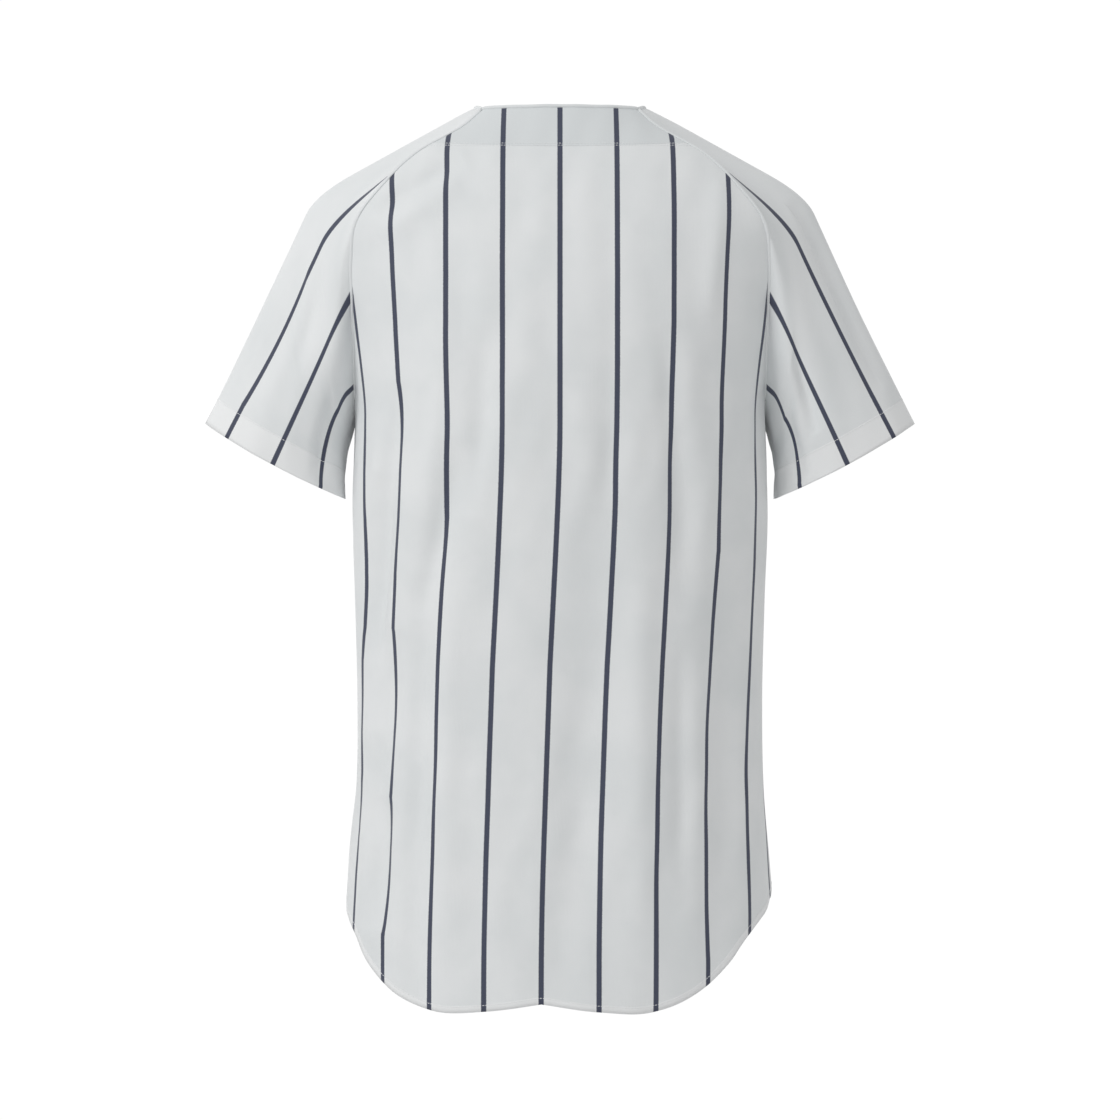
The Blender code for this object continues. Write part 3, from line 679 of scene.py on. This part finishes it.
def stitches(name, lines, finish):
    """Rows of thread stitches, each lying on the cloth with its ends going in."""
    along = np.array([0.0, 0.18, 0.5, 0.82, 1.0]) - 0.5
    lift = np.array([-0.8, 0.3, 0.7, 0.3, -0.8]) * THREAD_RADIUS
    thick = np.array([0.5, 1.0, 1.1, 1.0, 0.5]) * THREAD_RADIUS
    angle = np.linspace(0, 2 * np.pi, 7)[:-1]
    points, faces = [], []
    for line, normals in lines:
        run = lengths(line)
        for at in np.arange(STITCH_PITCH / 2, run[-1] - STITCH_LENGTH / 2, STITCH_PITCH):
            centre, ahead, out = (
                np.array([np.interp(where, run, values[:, i]) for i in range(3)])
                for where, values in ((at, line), (at + STITCH_LENGTH / 2, line), (at, normals)))
            tangent = unit(ahead - centre)
            out = unit(out - tangent * (out @ tangent))
            across = np.cross(tangent, out)
            first = 30 * len(points)
            rings = (centre + (along * STITCH_LENGTH)[:, None] * tangent + lift[:, None] * out)
            points.append(rings[:, None] + thick[:, None, None]
                          * (np.cos(angle)[:, None] * across + np.sin(angle)[:, None] * out))
            faces += [[first + i * 6 + j, first + i * 6 + (j + 1) % 6,
                       first + (i + 1) * 6 + (j + 1) % 6, first + (i + 1) * 6 + j]
                      for i in range(4) for j in range(6)]
    mesh = bpy.data.meshes.new(name)
    mesh.from_pydata(np.array(points).reshape(-1, 3).tolist(), [], faces)
    return shown(name, mesh, finish)


def distance_from_end(grid):
    """Distance of each point from the last row, square to it."""
    run = np.linalg.norm(np.diff(grid, axis=0), axis=2)[::-1].cumsum(axis=0)[::-1]
    run = np.vstack([run, np.zeros(run.shape[1:])[None]])
    edge = unit(np.gradient(grid[-1], axis=0))
    down = unit(grid[-1] - grid[-2])
    square = np.sqrt(np.clip(1 - (edge * down).sum(axis=1) ** 2, 0.1, 1))
    return run * square


def level(grid, normals, values, at):
    """The line across the grid where values, which fall down each column, reach at."""
    found = []
    for j in range(grid.shape[1]):
        spot = np.interp(-at if np.isscalar(at) else -at[j], -values[:, j], np.arange(len(grid)))
        i = min(int(spot), len(grid) - 2)
        part = spot - i
        found.append([g[i, j] * (1 - part) + g[i + 1, j] * part for g in (grid, normals)])
    line, out = np.array(found).transpose(1, 0, 2)
    return line, unit(out)


# Finishes


def wire(tree, kind, inputs=None, **settings):
    """Adds a shader node. inputs holds values or sockets by input name or number."""
    made = tree.nodes.new("ShaderNode" + kind)
    for name, value in settings.items():
        setattr(made, name, value)
    for name, value in (inputs or {}).items():
        if isinstance(value, bpy.types.NodeSocket):
            tree.links.new(value, made.inputs[name])
        else:
            made.inputs[name].default_value = value
    return made


def ranged(tree, value, low, high, to_low=0.0, to_high=1.0):
    """The value taken smoothly from one range to another."""
    return wire(tree, "MapRange", {"Value": value, "From Min": low, "From Max": high,
                                   "To Min": to_low, "To Max": to_high},
                interpolation_type="SMOOTHSTEP").outputs["Result"]


def combined(tree, operation, a, b):
    return wire(tree, "Math", {0: a, 1: b}, operation=operation).outputs[0]


def mixed(tree, factor, a, b, blend="MIX"):
    made = wire(tree, "Mix", data_type="RGBA", blend_type=blend)
    for name, value in ((0, factor), (6, a), (7, b)):
        if isinstance(value, bpy.types.NodeSocket):
            tree.links.new(value, made.inputs[name])
        else:
            made.inputs[name].default_value = value
    return made.outputs[2]


CLOTH_WHITE = (0.845, 0.862, 0.868, 1)
CLOTH_SHADE = (0.790, 0.815, 0.822, 1)
DOUBLE_CLOTH = (0.885, 0.897, 0.900, 1)
# Grey of the cloth over the back neck facing: partly the facing behind it, partly painted shade
FACED_AND_SHADED_CLOTH = (0.735, 0.765, 0.775, 1)
NAVY = (0.052, 0.060, 0.098, 1)
NAVY_WORN = (0.082, 0.092, 0.135, 1)


def cloth_material(name, striped=True, hem_depth=HEM_DEPTH):
    """Smooth knitted polyester: fine wales, soft sheen, woven-in stripes and stitched hems; the
    cloth over the back neck facing is painted darker, partly for the facing behind it and partly as
    painted shade.
    """
    made = bpy.data.materials.new(name)
    made.use_nodes = True
    tree = made.node_tree
    shader = tree.nodes["Principled BSDF"]
    place = wire(tree, "UVMap", uv_map="cut").outputs["UV"]
    parts = wire(tree, "SeparateXYZ", {0: place}).outputs
    broad = wire(tree, "TexNoise", {"Vector": place, "Scale": 14.0, "Detail": 3.0}).outputs["Fac"]
    fine = wire(tree, "TexNoise", {"Vector": place, "Scale": 1400.0, "Detail": 2.0}).outputs["Fac"]
    colour = mixed(tree, ranged(tree, broad, 0.3, 0.7), CLOTH_WHITE, CLOTH_SHADE)
    hem = wire(tree, "Attribute", attribute_name="hem").outputs["Fac"]
    in_hem = ranged(tree, hem, hem_depth - 0.0004, hem_depth + 0.0004, 1.0, 0.0)
    colour = mixed(tree, in_hem, colour, DOUBLE_CLOTH)
    # Above the facing stitches the cloth is painted darker: partly the facing behind it, partly
    # painted shade
    faced = wire(tree, "Attribute", attribute_name="facing").outputs["Fac"]
    over_facing = ranged(tree, faced, -0.0003, 0.0003, 1.0, 0.0)
    colour = mixed(tree, over_facing, colour, FACED_AND_SHADED_CLOTH)
    if striped:
        jag = combined(tree, "MULTIPLY", combined(tree, "SUBTRACT", fine, 0.5), 0.0009)
        shifted = combined(tree, "ADD", parts["X"], jag)
        away = combined(tree, "PINGPONG", shifted, STRIPE_PITCH / 2)
        stripe = ranged(tree, away, STRIPE_WIDTH / 2 - 0.0004, STRIPE_WIDTH / 2 + 0.0004, 1.0, 0.0)
        ink = mixed(tree, ranged(tree, fine, 0.35, 0.75), NAVY, NAVY_WORN)
        colour = mixed(tree, stripe, colour, ink)
    tree.links.new(colour, shader.inputs["Base Color"])
    wale_place = wire(tree, "VectorMath", {0: place, 1: (1.0, 0.55, 1.0)}, operation="MULTIPLY")
    wales = wire(tree, "TexWave", {"Vector": wale_place.outputs[0], "Scale": 260.0,
                                   "Distortion": 1.2, "Detail": 1.0, "Detail Scale": 2.0},
                 wave_type="BANDS", bands_direction="X").outputs["Fac"]
    knit = combined(tree, "ADD", combined(tree, "MULTIPLY", wales, 0.55), fine)
    knit_bump = wire(tree, "Bump", {"Height": knit, "Strength": 0.16, "Distance": 0.0004})
    step = combined(tree, "ADD", in_hem, over_facing)
    step_bump = wire(tree, "Bump", {"Height": step, "Strength": 0.5, "Distance": 0.0006,
                                    "Normal": knit_bump.outputs[0]})
    tree.links.new(step_bump.outputs[0], shader.inputs["Normal"])
    tree.links.new(ranged(tree, fine, 0.2, 0.8, 0.56, 0.68), shader.inputs["Roughness"])
    shader.inputs["Sheen Weight"].default_value = 0.22
    shader.inputs["Sheen Roughness"].default_value = 0.45
    shader.inputs["Specular IOR Level"].default_value = 0.35
    return made


def thread_material():
    made = bpy.data.materials.new("sewing_thread")
    made.use_nodes = True
    tree = made.node_tree
    shader = tree.nodes["Principled BSDF"]
    place = wire(tree, "TexCoord").outputs["Object"]
    twist = wire(tree, "TexNoise", {"Vector": place, "Scale": 2600.0}).outputs["Fac"]
    tree.links.new(mixed(tree, twist, (0.80, 0.82, 0.83, 1), (0.93, 0.94, 0.94, 1)),
                   shader.inputs["Base Color"])
    bump = wire(tree, "Bump", {"Height": twist, "Strength": 0.3, "Distance": 0.0002})
    tree.links.new(bump.outputs[0], shader.inputs["Normal"])
    shader.inputs["Roughness"].default_value = 0.5
    shader.inputs["Sheen Weight"].default_value = 0.15
    return made


def button_material():
    """Pearly moulded polyester, a little cloudy, with scuffs that break up its gloss."""
    made = bpy.data.materials.new("button_plastic")
    made.use_nodes = True
    tree = made.node_tree
    shader = tree.nodes["Principled BSDF"]
    place = wire(tree, "TexCoord").outputs["Object"]
    cloud = wire(tree, "TexNoise", {"Vector": place, "Scale": 160.0, "Detail": 3.0,
                                    "Distortion": 1.2}).outputs["Fac"]
    scuff = wire(tree, "TexNoise", {"Vector": place, "Scale": 900.0, "Detail": 4.0}).outputs["Fac"]
    tree.links.new(mixed(tree, ranged(tree, cloud, 0.3, 0.7), (0.80, 0.81, 0.80, 1),
                         (0.90, 0.90, 0.88, 1)), shader.inputs["Base Color"])
    tree.links.new(ranged(tree, scuff, 0.3, 0.7, 0.18, 0.36), shader.inputs["Roughness"])
    bump = wire(tree, "Bump", {"Height": scuff, "Strength": 0.05, "Distance": 0.0002})
    tree.links.new(bump.outputs[0], shader.inputs["Normal"])
    shader.inputs["Coat Weight"].default_value = 0.25
    return made


# Pieces


def lap_seam(side, back, back_normals, sleeve, sleeve_normals, front, front_normals, finish):
    """The raised ridges of the two raglan seams on one side."""
    seam = RAGLAN_ROWS + 1
    flip = np.array([side, 1, 1])
    name = "left" if side == LEFT else "right"
    end = 0 if side == LEFT else -1
    front_end = -1 if side == LEFT else 0
    start, start_out = sleeve[2] * flip, sleeve_normals[2] * flip
    for part, body, body_out, edge, edge_out in (
        ("back", back[:seam, end], back_normals[:seam, end], start[-seam:], start_out[-seam:]),
        ("front", front[:seam, front_end], front_normals[:seam, front_end],
         start[:seam][::-1], start_out[:seam][::-1]),
    ):
        out = unit(body_out + edge_out)
        line = body * BODY_SHARE_OF_RIDGE + edge * (1 - BODY_SHARE_OF_RIDGE) + out * RIDGE_LIFT
        swept(f"raglan_seam_{part}_{name}", line[:-2], out[:-2], SEAM_RIDGE_HALF,
              SEAM_RIDGE_HEIGHT, finish)


def build_facing(finish):
    """The facing inside the back neck, its lower edge a shallow curve."""
    across = np.linspace(1, -1, 97)
    top_z = BACK_RAGLAN[0].z - FACING_TOP_CLEARANCE
    rows = []
    for t in np.linspace(0, 1, 17):
        end_z = top_z - t * (FACING_DEPTH_END - FACING_TOP_CLEARANCE)
        z = end_z - t * (FACING_DEPTH_MIDDLE - FACING_DEPTH_END) * (1 - across**2)
        x = across * (read(BACK_RAGLAN, "z", "x", z) - FACING_SIDE_CLEARANCE)
        width = half_width(BACK_RAGLAN, BACK_PROFILE, z)
        angle = np.arcsin(np.sign(x) * np.abs(x / width) ** (SQUARENESS / 2))
        rows.append(oval(BACK_RAGLAN, BACK_PROFILE, angle, z))
    grid = np.array(rows)
    grid = grid - grid_normals(grid) * FACING_SETBACK
    around = np.array([lengths(line[:, :2]) for line in grid])
    piece = shell("facing_cloth", grid, around, grid[..., 2], finish)
    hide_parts("back_neck_facing")


def button_mesh():
    """One turned button with a raised rim and four holes, facing +Z."""
    r, h, sides, rings = BUTTON_RADIUS, BUTTON_THICKNESS, BUTTON_SIDES, len(BUTTON_RINGS)
    points = [(0, 0, 0)]
    for radius, lift in BUTTON_RINGS:
        points += [(radius * r * np.cos(a), radius * r * np.sin(a), lift * h)
                   for a in np.linspace(0, 2 * np.pi, sides + 1)[:-1]]
    points.append((0, 0, BUTTON_DISH * h))
    faces = [[0, 1 + (j + 1) % sides, 1 + j] for j in range(sides)]
    for i in range(rings - 1):
        faces += [[1 + i * sides + j, 1 + i * sides + (j + 1) % sides,
                   1 + (i + 1) * sides + (j + 1) % sides, 1 + (i + 1) * sides + j]
                  for j in range(sides)]
    last = 1 + (rings - 1) * sides
    faces += [[last + j, last + (j + 1) % sides, len(points) - 1] for j in range(sides)]
    mesh = bpy.data.meshes.new("button_blank")
    mesh.from_pydata(points, [], faces)
    blank = bpy.data.objects.new("button_blank", mesh)
    bpy.context.scene.collection.objects.link(blank)
    drills = []
    for x in (-1, 1):
        for y in (-1, 1):
            bpy.ops.mesh.primitive_cylinder_add(
                vertices=16, radius=HOLE_RADIUS, depth=4 * h,
                location=(x * HOLE_OFFSET, y * HOLE_OFFSET, 0))
            drills.append(bpy.context.object)
            cut = blank.modifiers.new("hole", "BOOLEAN")
            cut.object, cut.solver = drills[-1], "EXACT"
    graph = bpy.context.evaluated_depsgraph_get()
    drilled = bpy.data.meshes.new_from_object(blank.evaluated_get(graph))
    for helper in [blank, *drills]:
        bpy.data.objects.remove(helper)
    return drilled


def build_button(number, base, out, pattern, plastic, thread):
    """A button on the band, sewn with a crossed thread and framed by its buttonhole."""
    side = np.array([1.0, 0, 0])
    up = np.cross(out, side)
    mesh = pattern.copy()
    mesh.name = f"button_face_{number}"
    flat = np.empty(len(mesh.vertices) * 3)
    mesh.vertices.foreach_get("co", flat)
    turned = flat.reshape(-1, 3) @ np.column_stack([side, up, out]).T
    mesh.vertices.foreach_set("co", (turned + base + out * BUTTON_LIFT).ravel())
    piece = shown(mesh.name, mesh, plastic)
    mesh.set_sharp_from_angle(angle=0.7)
    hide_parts(f"button_{number}")

    top = base + out * (BUTTON_LIFT + BUTTON_THICKNESS * 0.62)
    ends = np.linspace(-1, 1, 9)[:, None]
    arch = out * (0.0005 - 0.0011 * np.abs(ends) ** 6)
    for k, slope in enumerate((1, -1)):
        line = top + ends * (side + slope * up) * HOLE_OFFSET + arch
        swept(f"button_thread_{number}_{k + 1}", line, np.tile(out, (9, 1)), 0.0005, 0.0004,
              thread, 8)
    t = np.linspace(0, 2 * np.pi, 61)[:, None]
    reach = np.sign(np.sin(t)) * (BUTTON_RADIUS + BUTTONHOLE_PAST_BUTTON)
    line = (base + out * 0.0001 + np.cos(t) * BUTTONHOLE_HALF * side
            + reach * np.abs(np.sin(t)) ** 0.25 * up)
    swept(f"buttonhole_{number}", line, np.tile(out, (61, 1)), 0.0007, 0.0005, thread, 8)


def build_buttons(band, band_out, plastic, thread):
    pattern = button_mesh()
    column, column_out = (values[::-1, band.shape[1] // 2] for values in (band, band_out))
    for i in range(BUTTON_COUNT):
        z = BUTTON_TOP_Z - i * BUTTON_SPACING
        base, out = (np.array([np.interp(z, column[:, 2], values[:, k]) for k in range(3)])
                     for values in (column, column_out))
        base[0] = 0
        build_button(i + 1, base, unit(out * (0, 1, 1)), pattern, plastic, thread)


def build_back(back, out, around, cloth, thread):
    """The back, with its hem sewing and the twin rows of stitches that hold the facing."""
    bow = 1 - (np.abs(around) / around[:RAGLAN_ROWS // 6].max()) ** 2
    facing_depth = FACING_DEPTH_END + (FACING_DEPTH_MIDDLE - FACING_DEPTH_END) * bow
    z = back[..., 2]
    facing = np.where(z > FACED_ABOVE_Z, -facing_depth - z, 1.0)
    hem = distance_from_end(back)
    piece = shell("cloth_back", back, around, z, cloth, hem, facing)
    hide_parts("back")
    hem_line = level(back, out, hem, HEM_DEPTH - HEM_STITCH_INSET)
    columns = slice(2, -2)
    upper, upper_out = (values[:RAGLAN_ROWS // 2, columns] for values in (back, out))
    twin = [level(upper, upper_out, upper[..., 2], offset - facing_depth[0, columns])
            for offset in (TWIN_LIFT, TWIN_LIFT + TWIN_GAP)]
    sewing = [stitches("hem_stitches_back", [hem_line], thread),
              stitches("facing_stitches", twin, thread)]


def build_front(side, name, front, out, cloth, plain, thread):
    """One front, with its hem sewing and its turned neck edge."""
    grid, around, neck_rows = front
    hem = distance_from_end(grid)
    piece = shell(f"cloth_front_{name}", grid, around, grid[..., 2], cloth, hem)
    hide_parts(f"front_{name}")
    line = level(grid, out, hem, HEM_DEPTH - HEM_STITCH_INSET)
    sewn = stitches(f"hem_stitches_front_{name}", [line], thread)
    inner = 0 if side == LEFT else -1
    neck = slice(0, neck_rows + 1)
    swept(f"neck_edge_front_{name}", grid[neck, inner], out[neck, inner], BINDING_HALF,
          BINDING_HALF, plain)


def build_sleeve(side, name, sleeve, out, across, down, cloth, plain, thread):
    """One sleeve, with its cuff sewing and its turned neck edge."""
    if side == RIGHT:
        sleeve, out = ((values * (-1, 1, 1))[:, ::-1] for values in (sleeve, out))
        across, down = -across[:, ::-1], down[:, ::-1]
    hem = distance_from_end(sleeve)
    piece = shell(f"cloth_sleeve_{name}", sleeve, across, down, cloth, hem)
    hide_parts(f"sleeve_{name}")
    line = level(sleeve, out, hem, CUFF_HEM_DEPTH - CUFF_STITCH_INSET)
    sewn = stitches(f"cuff_stitches_{name}", [line], thread)
    neck = slice(RAGLAN_ROWS, RAGLAN_ROWS + NECK_EDGE_COLUMNS + 1)
    swept(f"neck_edge_sleeve_{name}", sleeve[0, neck], out[0, neck], BINDING_HALF,
          BINDING_HALF, plain)


def build_band(front, front_out, cloth, plastic, thread):
    """The button band on the left front, sewn along both edges, with its buttons."""
    grid, around, neck_rows = front
    columns = slice(0, BAND_COLUMNS + 1)
    out = front_out[neck_rows:, columns]
    band = grid[neck_rows:, columns] + out * (SEAM_GAP + BAND_CLOTH)
    piece = shell("cloth_button_band", band, around[neck_rows:, columns], band[..., 2], cloth,
                  distance_from_end(band), thickness=BAND_CLOTH)
    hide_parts("button_band")
    edges = [(band[:, j], out[:, j]) for j in (1, -2)]
    sewn = stitches("band_stitches", edges, thread)
    build_buttons(band, out, plastic, thread)


def build_jersey():
    cloth = cloth_material("striped_cloth")
    sleeve_cloth = cloth_material("striped_sleeve_cloth", hem_depth=CUFF_HEM_DEPTH)
    plain = cloth_material("plain_cloth", striped=False, hem_depth=0.0)
    thread, plastic = thread_material(), button_material()

    back, back_around = back_grid()
    back_out = grid_normals(back)
    build_back(back, back_out, back_around, cloth, thread)
    fronts = {side: front_grid(side) for side in (LEFT, RIGHT)}
    front_out = {side: grid_normals(front[0]) for side, front in fronts.items()}
    for side, name, creases in ((LEFT, "left", LEFT_SLEEVE_CREASES),
                                (RIGHT, "right", RIGHT_SLEEVE_CREASES)):
        build_front(side, name, fronts[side], front_out[side], cloth, plain, thread)
        sleeve, across, down = sleeve_grid(creases, 20 + side)
        sleeve_out = grid_normals(sleeve, closed=True)
        lap_seam(side, back, back_out, sleeve, sleeve_out, fronts[side][0], front_out[side], plain)
        build_sleeve(side, name, sleeve, sleeve_out, across, down, sleeve_cloth, plain, thread)
    swept("neck_edge_back", back[0], back_out[0], BINDING_HALF, BINDING_HALF, plain)
    build_facing(plain)
    build_band(fronts[LEFT], front_out[LEFT], cloth, plastic, thread)


# Studio


def vector_angles(aim):
    """Turns that point a lamp or camera, which looks along its own -Z, along a direction."""
    flat = np.hypot(aim[0], aim[1])
    return (np.arctan2(flat, -aim[2]), 0, np.arctan2(-aim[0], aim[1]))


def build_studio():
    scene = bpy.context.scene
    scene.view_settings.view_transform = "Standard"
    mesh = bpy.data.meshes.new("floor")
    turned = np.linspace(0, 2 * np.pi, 129)[:-1]
    rim = [(FLOOR_RADIUS * np.cos(a), FLOOR_RADIUS * np.sin(a), FLOOR_Z) for a in turned]
    mesh.from_pydata(rim, [], [tuple(range(len(rim)))])
    floor = bpy.data.objects.new("floor", mesh)
    scene.collection.objects.link(floor)
    pale = bpy.data.materials.new("pale_floor")
    pale.use_nodes = True
    shader = pale.node_tree.nodes["Principled BSDF"]
    shader.inputs["Base Color"].default_value = (0.86, 0.86, 0.86, 1)
    shader.inputs["Roughness"].default_value = 0.9
    mesh.materials.append(pale)

    world = bpy.data.worlds.new("studio")
    scene.world = world
    world.use_nodes = True
    tree = world.node_tree
    background = tree.nodes["Background"]
    direction = wire(tree, "TexCoord").outputs["Generated"]
    towards_back = wire(tree, "SeparateXYZ", {0: direction}).outputs["Y"]
    glow = ranged(tree, towards_back, -0.93, -0.80, 1.02, 0.60)
    tree.links.new(glow, background.inputs["Strength"])
    background.inputs["Color"].default_value = (1, 1, 1, 1)

    for name, place, size, power in (
        ("key", (2.2, 2.0, 1.5), 1.2, 36.0),
        ("front_key", (1.9, -2.2, 1.3), 1.4, 9.0),
    ):
        light = bpy.data.lights.new(name, "AREA")
        light.size, light.energy = size, power
        lamp = bpy.data.objects.new(name, light)
        lamp.location = place
        lamp.rotation_euler = vector_angles(LAMPS_AIM - place)
        scene.collection.objects.link(lamp)

    lens = bpy.data.cameras.new("photo_view")
    lens.sensor_width = SENSOR
    lens.lens = SENSOR * VIEW_DISTANCE / VIEW_WIDTH
    camera = bpy.data.objects.new("photo_view", lens)
    camera.location = (0, VIEW_DISTANCE, VIEW_HEIGHT_Z)
    camera.rotation_euler = (np.pi / 2, 0, np.pi)
    scene.collection.objects.link(camera)
    scene.camera = camera


build_studio()
build_jersey()
